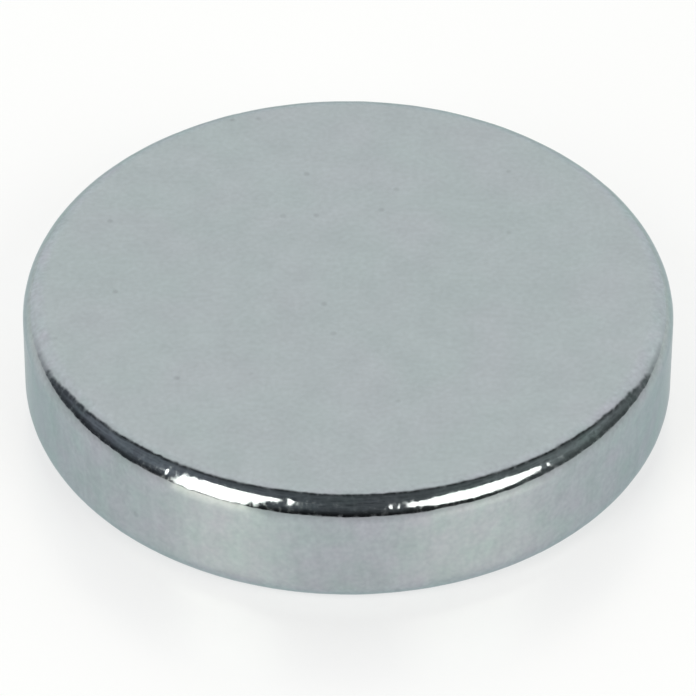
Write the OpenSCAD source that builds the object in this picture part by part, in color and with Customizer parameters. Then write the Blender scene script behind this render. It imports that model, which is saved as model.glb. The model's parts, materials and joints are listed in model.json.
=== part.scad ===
// Disc magnet: one solid, pressed and sintered from rare-earth powder. Both faces are
// ground flat, tumbling rounds both rims, and a thin bright plating covers it all over.
// Millimetres, +Z up along the axis. The origin is the centre of the bottom face.

/* [Disc] */
// Diameter across the straight wall
disc_d = 15; // [6:0.5:60]
// Thickness from face to face
disc_t = 3; // [2:0.1:20]

/* [Rims] */
// Radius that tumbling leaves on both rims
rim_r = 0.6; // [0.1:0.05:0.9]

/* [Hidden] */

// Where each face ends and its rim begins to turn down
face_r = disc_d / 2 - rim_r;
// Height of the straight wall that is left between the two rims
wall_h = disc_t - 2 * rim_r;

// Facets round the axis and round a whole rim circle
around_fn = 256;
rim_fn = 64;

plating = [0.67, 0.71, 0.72];

// Half of the section through the axis, drawn with X outward and Y up. A block under the
// flat faces and a wider one behind the wall leave two corners, and a circle in each is
// tangent to its face and to the wall.
module half_section() {
    square([face_r, disc_t]);
    translate([0, rim_r])
        square([disc_d / 2, wall_h]);
    for (rim_z = [rim_r, disc_t - rim_r])
        translate([face_r, rim_z])
            circle(r = rim_r, $fn = rim_fn);
}

module disc_magnet() {
    color(plating)
        rotate_extrude($fn = around_fn)
            half_section();
}

disc_magnet();
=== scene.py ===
# %% [markdown]
# # A nickel-plated disc magnet
#
# The real object is one piece of sintered metal, no bigger than a coin: pressed from powder,
# ground flat on both faces, tumbled until its rims are round, and plated. It has no detail to
# hide behind. What makes it read as metal is the room that it mirrors, so this lesson spends
# as much care on the studio as on the disc.
#
# Everything is in metres, +Z is up, and the origin is the centre of the bottom face. The frame
# holds the exact solid. Its sizes are read from there, so nothing is typed in twice.

import json
import math
import random

import bpy
import numpy as np
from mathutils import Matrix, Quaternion, Vector, noise


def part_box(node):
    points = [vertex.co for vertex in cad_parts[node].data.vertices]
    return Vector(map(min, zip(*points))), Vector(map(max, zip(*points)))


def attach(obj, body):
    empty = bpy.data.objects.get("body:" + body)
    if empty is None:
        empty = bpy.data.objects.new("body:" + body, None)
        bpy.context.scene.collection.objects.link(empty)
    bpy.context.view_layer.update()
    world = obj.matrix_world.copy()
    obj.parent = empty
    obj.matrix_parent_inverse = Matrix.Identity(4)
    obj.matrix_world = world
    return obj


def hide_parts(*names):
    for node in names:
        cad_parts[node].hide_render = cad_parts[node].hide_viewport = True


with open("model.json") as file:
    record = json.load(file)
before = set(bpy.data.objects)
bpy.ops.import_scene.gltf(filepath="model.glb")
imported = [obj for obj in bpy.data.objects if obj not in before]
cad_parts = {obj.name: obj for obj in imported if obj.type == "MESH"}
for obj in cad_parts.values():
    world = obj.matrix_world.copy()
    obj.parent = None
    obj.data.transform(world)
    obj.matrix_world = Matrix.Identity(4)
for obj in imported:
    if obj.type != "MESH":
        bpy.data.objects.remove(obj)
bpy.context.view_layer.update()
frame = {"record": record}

MM = 0.001
low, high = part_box("disc_magnet")
mounts = {mount["name"]: mount for mount in frame["record"]["mounts"]}
thickness = high.z - low.z
wall_r = mounts["rim_wall"]["dims"]["r_mm"] * MM
wall_h = mounts["rim_wall"]["dims"]["length_mm"] * MM
rim_r = (thickness - wall_h) / 2
face_r = wall_r - rim_r
middle = Vector((0, 0, low.z + thickness / 2))
print(f"disc {wall_r * 2 / MM:.2f} x {thickness / MM:.2f} mm, rims {rim_r / MM:.2f} mm")

# %% [markdown]
# ## The camera
#
# A small object is best seen from far away with a long lens, so that its far side looks hardly
# smaller than its near side. Here the camera stands eighteen radii away and looks down at
# about forty degrees. The lens follows from how much of the picture the disc should fill, and
# the view is aimed a little below the disc's middle, which lifts the disc in the frame. The
# Standard view transform keeps the colours as they are mixed below.

# %% Place the camera
scene = bpy.context.scene
elevation = math.radians(39.9)
camera_distance = 18 * wall_r
radius_in_frame = 0.465
aim_below = 0.027 * wall_r
roll = math.radians(0.3)

camera = bpy.data.objects.new("camera", bpy.data.cameras.new("camera"))
scene.collection.objects.link(camera)
camera.data.sensor_width = 36
camera.data.lens = camera.data.sensor_width * radius_in_frame * camera_distance / wall_r
camera.data.clip_start = camera_distance / 100
camera.data.clip_end = camera_distance * 100

towards_camera = Vector((0, -math.cos(elevation), math.sin(elevation)))
up_in_view = Vector((0, math.sin(elevation), math.cos(elevation)))
camera.location = middle + towards_camera * camera_distance
gaze = middle - up_in_view * aim_below - camera.location
camera.rotation_mode = "QUATERNION"
camera.rotation_quaternion = gaze.to_track_quat("-Z", "Y") @ Quaternion((0, 0, 1), roll)
scene.camera = camera
scene.view_settings.view_transform = "Standard"
print(f"camera {camera_distance / MM:.0f} mm away, lens {camera.data.lens:.0f} mm")

# %% [markdown]
# ## Shader maths
#
# Node graphs are easier to read as expressions. A Wire holds one output of a node, and adding
# or multiplying it adds a Math node. Every other kind of node comes from one method, which
# applies the node's settings first and fills its sockets after.


# %% A wire that does arithmetic
class Wire:
    """One output socket. Arithmetic on it adds Math nodes to its tree."""

    def __init__(self, tree, output=None):
        self.tree = tree
        self.output = output

    def node(self, kind, settings=None, sockets=None, output=0):
        """Adds a node, sets it up, fills its sockets, and returns a wire from one output."""
        made = self.tree.nodes.new(kind)
        for name, value in (settings or {}).items():
            setattr(made, name, value)
        for name, value in (sockets or {}).items():
            if isinstance(value, Wire):
                self.tree.links.new(value.output, made.inputs[name])
            else:
                made.inputs[name].default_value = value
        return Wire(self.tree, made.outputs[output] if made.outputs else None)

    def math(self, operation, *terms):
        """Adds a Math node that works on the terms, which are wires or numbers."""
        return self.node("ShaderNodeMath", {"operation": operation}, dict(enumerate(terms)))

    def __add__(self, other):
        return self.math("ADD", self, other)

    def __sub__(self, other):
        return self.math("SUBTRACT", self, other)

    def __mul__(self, other):
        return self.math("MULTIPLY", self, other)

    def __radd__(self, other):
        return self.math("ADD", other, self)

    def __rsub__(self, other):
        return self.math("SUBTRACT", other, self)

    def __rmul__(self, other):
        return self.math("MULTIPLY", other, self)

    def step(self, start, end):
        """0 below start, 1 above end, and a smooth rise between them."""
        return self.node("ShaderNodeMapRange", {"interpolation_type": "SMOOTHSTEP"},
                         {"Value": self, "From Min": start, "From Max": end})

    def blend(self, first, second):
        """A colour: first where this wire is 0, second where it is 1."""
        return self.node("ShaderNodeMix", {"data_type": "RGBA"}, {0: self, 6: first, 7: second}, 2)

    def scaled(self, factor):
        """This vector or colour, with every part of it times the factor."""
        return self.node("ShaderNodeVectorMath", {"operation": "SCALE"}, {0: self, "Scale": factor})

    def stretched(self, factors):
        """This vector, with its X, Y and Z each times a factor of its own."""
        return self.node("ShaderNodeVectorMath", {"operation": "MULTIPLY"}, {0: self, 1: factors})

    def split(self):
        """The X, Y and Z of a vector, as three wires."""
        return [self.node("ShaderNodeSeparateXYZ", None, {0: self}, axis) for axis in range(3)]


print("shader maths ready")

# %% [markdown]
# ## The room
#
# A mirror shows only what stands round it. Behind the disc hangs a pale sweep that reaches
# almost to overhead, and the flat face mirrors that. The camera's side of the room is dark, and
# it draws the dark line round the front rim. The line is blackest along its two borders,
# because next to the sweep and down by the floor the room gives hardly any light. A little
# more of it comes from the sides, from the far right and from behind. The line has no hard
# ends, because the sweep fades out at its lower corners. A dark cloth hangs in upright folds in
# the dark part, and they keep the line from looking painted on.
#
# The world shader paints the room from the direction of a ray alone. Real walls and cloths
# would do too, but a painted direction stays sharp at any size, and it is only a few sums.
# Rays from the camera see a plain pale colour in its place.

# %% Paint the sweep
world = bpy.data.worlds.new("studio")
scene.world = world
world.use_nodes = True
world.node_tree.nodes.clear()
room = Wire(world.node_tree)
direction = room.node("ShaderNodeTexCoord", output="Generated")
towards_x, towards_y, towards_z = direction.split()
aside = towards_x.math("ABSOLUTE", towards_x)

SWEEP_SIDE, SWEEP_TOP = 0.466, 0.25  # its sides end at this y for each x, its top for each z
SWEEP_LIGHT, EDGE_LOSS = 1.03, 0.08  # how bright it is, and what it loses near its sides
FOOT_FADE, CORNER_FADE = 0.18, 0.35  # how far it fades low down at the side, and at its edge

past_side = aside * SWEEP_SIDE - towards_y
past_top = towards_z * SWEEP_TOP - towards_y
on_sweep = (1 - past_side.step(-0.06, 0.06)) * (1 - past_top.step(-0.06, 0.12))
sweep_light = SWEEP_LIGHT - past_side.step(-0.30, -0.05) * EDGE_LOSS
foot = 1 - towards_z.step(0.10, 0.45)
near_edge = past_side.step(-0.30, 0.0)
faded = foot * (aside.step(0.60, 0.94) * FOOT_FADE + near_edge * CORNER_FADE)
print("sweep painted, faded at its two lower corners")

# %% Paint the dark side of the room
DARKEST = 0.016
UPPER_LIGHT, UPPER_SIDES = 0.11, 0.10  # from high up, and more of it towards the sides
SIDE_LIGHT, RIGHT_LIGHT, BACK_LIGHT = 0.03, 0.07, 0.10  # from any height
FOLDS, FOLD_HEIGHT = 14.0, 0.12  # how close they hang, and how little they change with height
LEFT_TINT = (0.93, 1.00, 1.12, 1)
RIGHT_TINT = (0.94, 1.05, 1.02, 1)

above_sweep = past_top.step(0.02, 0.30)
past_sweep = room.math("MAXIMUM", above_sweep, past_side.step(0.05, 0.28))
high_up = towards_z.step(0.15, 0.60)
sideways = aside.step(0.0, 1.0)
far_right = towards_x.step(0.65, 0.95)
behind = towards_y.step(0.1, 0.5)
well_lit = past_sweep * high_up * (UPPER_LIGHT + sideways * UPPER_SIDES)
faintly_lit = sideways * SIDE_LIGHT + far_right * RIGHT_LIGHT + behind * BACK_LIGHT + DARKEST
hanging = direction.stretched((1, 1, FOLD_HEIGHT))
folds = room.node("ShaderNodeTexNoise", None, {"Vector": hanging, "Scale": FOLDS, "Detail": 3.0})
dark_light = (well_lit + faintly_lit) * (folds * 2.0)
dark_tint = towards_x.step(-0.8, 0.8).blend(LEFT_TINT, RIGHT_TINT)
print("dark side painted, bluer on the left")

# %% Join the room together over pale ground
GROUND = (0.80, 0.80, 0.80, 1)
BACKDROP = (0.92, 0.92, 0.92, 1)
above = (on_sweep * (1 - faded)).blend(dark_tint.scaled(dark_light), sweep_light)
surroundings = towards_z.step(-0.03, 0.0).blend(GROUND, above)
seen_by_camera = room.node("ShaderNodeLightPath", output="Is Camera Ray")
shown = seen_by_camera.blend(surroundings, BACKDROP)
background = room.node("ShaderNodeBackground", None, {"Color": shown})
room.node("ShaderNodeOutputWorld", None, {"Surface": background})
print(f"world painted with {len(world.node_tree.nodes)} nodes")

# %% [markdown]
# ## A soft box and an umbrella
#
# On the left stands a soft box, which is a blunt rectangle, and on the right an umbrella, which
# is round. The rim mirrors both, so their outlines show in its two highlights. Glowing cards
# would do too, but an area light has its size and its power as plain numbers. What matters is
# the patch of the disc's sky that it fills, so it is given as a direction and two angles, and
# its size follows from its distance.

# %% Hang the lights
LIGHT_DISTANCE = 0.6
LIGHT_COLOUR = (1.0, 0.98, 0.90)
WATTS = 4  # for each square metre of a light, to look as bright as an Emission of 1


def hang_light(name, shape, azimuth, elevation, wide, tall, brightness):
    """An area light, its angles in degrees. Azimuth 0 is the camera's side, and 90 is +X."""
    a, e = math.radians(azimuth), math.radians(elevation)
    away = Vector((math.sin(a) * math.cos(e), -math.cos(a) * math.cos(e), math.sin(e)))
    light = bpy.data.objects.new(name, bpy.data.lights.new(name, "AREA"))
    scene.collection.objects.link(light)
    light.data.shape = shape
    light.data.size = 2 * LIGHT_DISTANCE * math.tan(math.radians(wide) / 2)
    light.data.size_y = 2 * LIGHT_DISTANCE * math.tan(math.radians(tall) / 2)
    filled = math.pi / 4 if shape == "ELLIPSE" else 1
    light.data.energy = brightness * WATTS * filled * light.data.size * light.data.size_y
    light.data.color = LIGHT_COLOUR
    light.location = middle + away * LIGHT_DISTANCE
    light.rotation_euler = away.to_track_quat("Z", "Y").to_euler()
    light.visible_camera = False
    print(f"{name}: {light.data.size:.2f} x {light.data.size_y:.2f} m, {light.data.energy:.2f} W")


hang_light("soft_box", "RECTANGLE", azimuth=-43, elevation=29.5, wide=26, tall=52, brightness=2.8)
hang_light("umbrella", "ELLIPSE", azimuth=44.8, elevation=33.5, wide=42, tall=37, brightness=2.35)

# %% [markdown]
# ## The floor
#
# The table top is pale and mostly matt. It glows, as a light table does, so the disc casts
# hardly any shadow. It also has a slightly warm sheen that mirrors the two lights, and the
# disc's wall mirrors that again, as a lighter patch under each highlight. Plain white paper
# would be simpler, but it would leave the wall flat and even. The sheen grows towards a grazing
# look, as a real gloss does, but it stops at a little over a third: a full gloss would turn
# the whole table dark at a low view.

# %% Lay the floor
FLOOR_HALF = 1.5
FLOOR_DROP = 0.005 * MM
MATT = (0.42, 0.425, 0.44, 1)
GLOW = 0.65
SHEEN = (0.96, 0.96, 0.83, 1)
SHEEN_BLUR = 0.27
SHEEN_STEEP, SHEEN_GRAZING = 0.05, 0.38  # its share, looked at from above and along the table

floor_mesh = bpy.data.meshes.new("floor")
corners = [(x * FLOOR_HALF, y * FLOOR_HALF, low.z - FLOOR_DROP) for x, y in
           ((-1, -1), (1, -1), (1, 1), (-1, 1))]
floor_mesh.from_pydata(corners, [], [(0, 1, 2, 3)])
floor = bpy.data.objects.new("floor", floor_mesh)
scene.collection.objects.link(floor)

table_top = bpy.data.materials.new("table_top")
table_top.use_nodes = True
table_top.node_tree.nodes.clear()
top = Wire(table_top.node_tree)
matt = top.node("ShaderNodeBsdfDiffuse", None, {"Color": MATT})
glow = top.node("ShaderNodeEmission", None, {"Strength": GLOW})
lit = top.node("ShaderNodeAddShader", None, {0: matt, 1: glow})
gloss = top.node("ShaderNodeBsdfAnisotropic", None, {"Color": SHEEN, "Roughness": SHEEN_BLUR})
grazing = top.node("ShaderNodeLayerWeight", None, {"Blend": 0.5}, "Facing")
share = grazing * grazing * (SHEEN_GRAZING - SHEEN_STEEP) + SHEEN_STEEP
sheen = top.node("ShaderNodeMixShader", None, {0: share, 1: lit, 2: gloss})
top.node("ShaderNodeOutputMaterial", None, {"Surface": sheen})
floor_mesh.materials.append(table_top)
print(f"floor {2 * FLOOR_HALF:.0f} m across, {FLOOR_DROP / MM:.3f} mm under the disc")

# %% [markdown]
# ## The disc's outline
#
# Half a section through the axis, from the centre of the bottom face out along it, round the
# bottom rim, up the wall, round the top rim and back in. The rims are quarter circles. A
# Screw modifier could turn it, but here each ring of points is wanted by itself, to wear it
# down and to unfold it, so the mesh is built ring by ring. The top rim has more rings than the
# bottom one, because its highlights are what the eye goes to.

# %% Draw the half section
AROUND = 1440
FACE_RINGS = 6
FACE_GROWTH = 2.2  # how much wider each gap between a face's rings is than the one outside it
WALL_STEPS = 8
TOP_RIM_STEPS = 22
BOTTOM_RIM_STEPS = 12


def face_radii():
    """Radii on a flat face from near the centre out, closest together next to the rim."""
    gaps = [FACE_GROWTH**k for k in range(FACE_RINGS)]
    return [face_r * (1 - sum(gaps[:k]) / sum(gaps)) for k in range(FACE_RINGS - 1, 0, -1)]


def rim_ring(slope, centre_z):
    """A ring of the rim whose round centre is at that height. The slope is where it faces."""
    a = math.radians(slope)
    return (face_r + rim_r * math.cos(a), centre_z + rim_r * math.sin(a), slope)


def half_section():
    """(radius, height, slope in degrees) of each ring, from the bottom face to the top one."""
    bottom = [-90 + 90 * k / BOTTOM_RIM_STEPS for k in range(BOTTOM_RIM_STEPS + 1)]
    top = [90 * k / TOP_RIM_STEPS for k in range(TOP_RIM_STEPS + 1)]
    wall = [low.z + rim_r + wall_h * k / WALL_STEPS for k in range(1, WALL_STEPS)]
    return (
        [(r, low.z, -90) for r in face_radii()]
        + [rim_ring(slope, low.z + rim_r) for slope in bottom]
        + [(wall_r, z, 0) for z in wall]
        + [rim_ring(slope, high.z - rim_r) for slope in top]
        + [(r, high.z, 90) for r in reversed(face_radii())]
    )


section = half_section()
azimuths = [2 * math.pi * i / AROUND for i in range(AROUND)]
print(f"{len(section)} rings, {AROUND} points round each")

# %% [markdown]
# ## Wear from tumbling
#
# The rims were rounded by tumbling the bare discs with stones, so they aren't turned circles:
# they roll gently in and out by up to a hundredth of a millimetre, and here and there a stone
# left a pit. On dull metal nobody would see it. On bright plating the edges of each highlight
# wobble, and a pit near its end shows as a separate bright bead. A bump in the material could
# fake that, but it is shape, so it goes into the mesh. The ground faces stay flat, and the wall
# takes a little of the wear.
#
# Wear only takes metal away, so every point moves inwards.

# %% Roll the surface in and out
SWELLS = ((1.9, 0.007), (5.0, 0.003))  # how many to a millimetre, and how deep in millimetres
WALL_SHARE = 0.3
FADE_AT_WALL, FADE_AT_FACE = 14, 12  # degrees of the rim's turn over which it eases off


def smooth(x):
    """0 below 0, 1 above 1, and a smooth rise between them."""
    x = min(max(x, 0), 1)
    return x * x * (3 - 2 * x)


def wear_share(slope):
    """How much of the wear a ring takes: all of it on a rim, and none on a face."""
    off_wall = smooth(abs(slope) / FADE_AT_WALL)
    off_face = smooth((90 - abs(slope)) / FADE_AT_FACE)
    return (WALL_SHARE + (1 - WALL_SHARE) * off_wall) * off_face


def swell_at(point):
    """Depth of the rolling wear at a point, in metres, never below 0."""
    total = 0
    for per_mm, depth in SWELLS:
        total += depth * (1 + noise.noise(point * (per_mm / MM))) / 2
    return total * MM


points = []
outwards = []
wear = []
for r, z, slope in section:
    share = wear_share(slope)
    level, lift = math.cos(math.radians(slope)), math.sin(math.radians(slope))
    for a in azimuths:
        point = Vector((r * math.sin(a), -r * math.cos(a), z))
        points.append(point)
        outwards.append((level * math.sin(a), -level * math.cos(a), lift))
        wear.append(share * swell_at(point) if share else 0.0)
points, outwards, wear = np.array(points), np.array(outwards), np.array(wear)
print(f"wear up to {wear.max() / MM:.4f} mm deep")

# %% Press in the pits
SHOWN_PITS = (  # azimuth and slope in degrees, and depth in millimetres
    (-32.6, 42, 0.0090),
    (-10.4, 46, 0.0075),
    (8.0, 40, 0.0075),
    (9.2, 38, 0.0066),
    (37.0, 42, 0.0035),
)
OTHER_PITS = 60
PIT_SLOPES = (8, 78)
PIT_DEPTHS = (0.001, 0.005)
PIT_REACH = 0.055  # in millimetres
chance = random.Random(7)


def other_pit():
    """A pit anywhere on either rim."""
    slope = chance.uniform(*PIT_SLOPES) * chance.choice((-1, 1))
    return (chance.uniform(-180, 180), slope, chance.uniform(*PIT_DEPTHS))


def pit_depths(azimuth, slope, depth):
    """How deep one soft round pit goes at each point of the disc, in metres."""
    r, z, _ = rim_ring(slope, high.z - rim_r if slope > 0 else low.z + rim_r)
    a = math.radians(azimuth)
    centre = np.array((r * math.sin(a), -r * math.cos(a), z))
    away = np.linalg.norm(points - centre, axis=1) / (PIT_REACH * MM)
    return depth * MM * np.exp(-away * away / 2)


for pit in SHOWN_PITS + tuple(other_pit() for _ in range(OTHER_PITS)):
    wear += pit_depths(*pit)
worn = points - outwards * wear[:, None]
print(f"{len(SHOWN_PITS) + OTHER_PITS} pits, wear up to {wear.max() / MM:.4f} mm deep")

# %% [markdown]
# ## The mesh and its unfolded map
#
# The rings are joined by quads, and each face closes on one point at the axis. The disc is
# unfolded as a paper model would be: two round faces side by side, and below them the rims and
# wall as two long strips, each half way round. The shader doesn't need the map, but a bake
# does, and this one wastes little room.

# %% Unfold the disc
FACE_AT = {-90: (0.75, 0.745), 90: (0.25, 0.745)}  # where the middle of each round face goes
FACE_SPAN = 0.24
MAP_EDGE = 0.01
STRIP_LOW = (0.01, 0.26)  # where each of the two strips starts
STRIP_TALL = 0.22
lengths = [0.0]
for (r0, z0, _), (r1, z1, _) in zip(section, section[1:]):
    lengths.append(lengths[-1] + math.hypot(r1 - r0, z1 - z0))
first_strip, last_strip = FACE_RINGS - 1, len(section) - FACE_RINGS


def on_face(ring, column):
    """Where a point of a flat face lies on the map."""
    r, _, slope = section[ring]
    turn = 1 if slope > 0 else -1
    a = azimuths[column % AROUND]
    u, v = FACE_AT[90 * turn]
    out = FACE_SPAN * r / face_r
    return (u + turn * out * math.sin(a), v - out * math.cos(a))


def on_strip(ring, column, half):
    """Where a point of the rims or the wall lies on the map."""
    along = column / (AROUND // 2) - half
    start, end = lengths[first_strip], lengths[last_strip]
    up = (lengths[ring] - start) / (end - start)
    return (MAP_EDGE + (1 - 2 * MAP_EDGE) * along, STRIP_LOW[half] + STRIP_TALL * up)


print(f"rims and wall unfold to {(lengths[last_strip] - lengths[first_strip]) / MM:.2f} mm tall")


# %% Join the rings
def skin():
    """The faces, and the place on the map of each of their corners."""
    poles = (len(points), len(points) + 1)
    faces, places = [], []
    for i in range(AROUND):
        j = (i + 1) % AROUND
        half = i // (AROUND // 2)
        faces.append((poles[0], j, i))
        places += [FACE_AT[-90], on_face(0, j), on_face(0, i)]
        for k in range(len(section) - 1):
            a, b = k * AROUND, (k + 1) * AROUND
            faces.append((a + i, a + j, b + j, b + i))
            quad = ((k, i), (k, i + 1), (k + 1, i + 1), (k + 1, i))
            if first_strip <= k < last_strip:
                places += [on_strip(ring, column, half) for ring, column in quad]
            else:
                places += [on_face(ring, column) for ring, column in quad]
        end = (len(section) - 1) * AROUND
        faces.append((end + i, end + j, poles[1]))
        places += [on_face(len(section) - 1, i), on_face(len(section) - 1, j), FACE_AT[90]]
    return faces, places


faces, places = skin()
verts = worn.tolist() + [(0, 0, low.z), (0, 0, high.z)]
disc_mesh = bpy.data.meshes.new("plated_disc")
disc_mesh.from_pydata(verts, [], faces)
disc_mesh.shade_smooth()
unfolded = disc_mesh.uv_layers.new(name="OFBake")
unfolded.uv.foreach_set("vector", np.array(places, dtype=np.float32).ravel())
disc = bpy.data.objects.new("plated_disc", disc_mesh)
scene.collection.objects.link(disc)
print(f"{len(disc_mesh.vertices)} vertices, {len(disc_mesh.polygons)} faces")

# %% [markdown]
# ## The plating
#
# Bright nickel copies whatever lies under it. The faces and the wall were ground, so they are
# satin, and the tumbled rims are almost a mirror. The colour is a cool grey that wanders a
# little towards green and towards violet, with a few dark specks where dust got under it.
#
# One material does it all, from where a point lies on the disc: masks for the rims and the
# side, and noise in millimetres. Separate materials could do it too, but they would meet in
# hard lines. Metals go white towards a grazing look, and the Specular Tint holds that back and
# keeps it cool.

# %% Where on the disc a point lies
nickel = bpy.data.materials.new("nickel_plating")
nickel.use_nodes = True
nickel.node_tree.nodes.clear()
plate = Wire(nickel.node_tree)
place = plate.node("ShaderNodeTexCoord", output="Object").scaled(1 / MM)
place_x, place_y, place_z = place.split()
from_axis = plate.math("SQRT", place_x * place_x + place_y * place_y)
from_middle = plate.math("ABSOLUTE", place_z - middle.z / MM)
turned_out = from_axis.step((face_r - 0.2 * rim_r) / MM, (face_r + 0.3 * rim_r) / MM)
turned_over = from_middle.step((wall_h / 2 - 0.2 * rim_r) / MM, (wall_h / 2 + 0.4 * rim_r) / MM)
on_rim = turned_out * turned_over
on_side = from_axis.step(face_r / MM, (face_r + 0.4 * rim_r) / MM)
print("masks ready: on_rim, on_side")


# %% Grain, ripple, streaks and mottle
def noise_of(vector, per_mm, detail):
    """Noise about 0, with that many features to a millimetre."""
    made = vector.node("ShaderNodeTexNoise", None, {
        "Vector": vector, "Scale": per_mm, "Detail": detail})
    return made - 0.5


BUMP_HEIGHT = 0.001 * MM
grain = noise_of(place, 8.0, 2.0)
ripple = noise_of(place, 4.0, 1.0)
bump = plate.node("ShaderNodeBump", None, {
    "Strength": 1.0, "Distance": BUMP_HEIGHT, "Height": grain + ripple * 2.5})
streaks = noise_of(place.stretched((1, 1, 0.2)), 4.0, 2.0)
mottle = noise_of(place, 1.5, 4.0)
print("grain, ripple, streaks and mottle ready")

# %% Tint
FACE_GREENISH, FACE_VIOLET = (0.400, 0.453, 0.456, 1), (0.412, 0.450, 0.463, 1)
SIDE_GREENISH, SIDE_VIOLET = (0.390, 0.452, 0.457, 1), (0.422, 0.441, 0.476, 1)


def patches(per_mm, detail, contrast):
    """Soft patches that wander between 0 and 1, with that many to a millimetre."""
    return noise_of(place, per_mm, detail) * contrast + 0.5


face_tint = patches(0.55, 1.5, contrast=3.0).blend(FACE_GREENISH, FACE_VIOLET)
side_tint = patches(1.3, 4.0, contrast=2.6).blend(SIDE_GREENISH, SIDE_VIOLET)
tint = on_side.blend(face_tint, side_tint)
print("tint ready: greenish to violet patches, larger on the faces than on the side")

# %% Shade
SPECKS_PER_MM = 0.9
SPECK_SHADE = 0.12
cells = plate.node("ShaderNodeTexVoronoi", None, {
    "Vector": place, "Scale": SPECKS_PER_MM}, "Distance")
specks = 1 - cells.step(0.04, 0.09)
uneven = mottle * 0.15 + grain * 0.17
side_marks = on_side * (streaks * 0.16 + grain * 0.08)
rim_marks = on_rim * noise_of(place, 9.0, 1.0) * 0.20
shade = 1 + uneven + side_marks + rim_marks - specks * SPECK_SHADE
print("shade ready")

# %% The finish
SATIN = 0.25
BRIGHT = 0.06
HAZIEST = 0.14
GRAZING_TINT = (0.62, 0.70, 0.71, 1)
haze = grain.step(-0.15, 0.25) * HAZIEST
roughness = SATIN - on_rim * (SATIN - BRIGHT - haze) + grain * 0.04
metal = plate.node("ShaderNodeBsdfPrincipled", None, {
    "Base Color": tint.scaled(shade), "Metallic": 1.0, "Roughness": roughness,
    "Specular Tint": GRAZING_TINT, "Normal": bump})
plate.node("ShaderNodeOutputMaterial", None, {"Surface": metal})
disc_mesh.materials.append(nickel)
print("plating mixed")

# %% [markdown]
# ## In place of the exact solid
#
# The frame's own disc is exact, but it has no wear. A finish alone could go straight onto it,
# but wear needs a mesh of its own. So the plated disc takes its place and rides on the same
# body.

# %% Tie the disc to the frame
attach(disc, "root")
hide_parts("disc_magnet")
print("disc tied to the root body")

# %% Done
print("scene built")
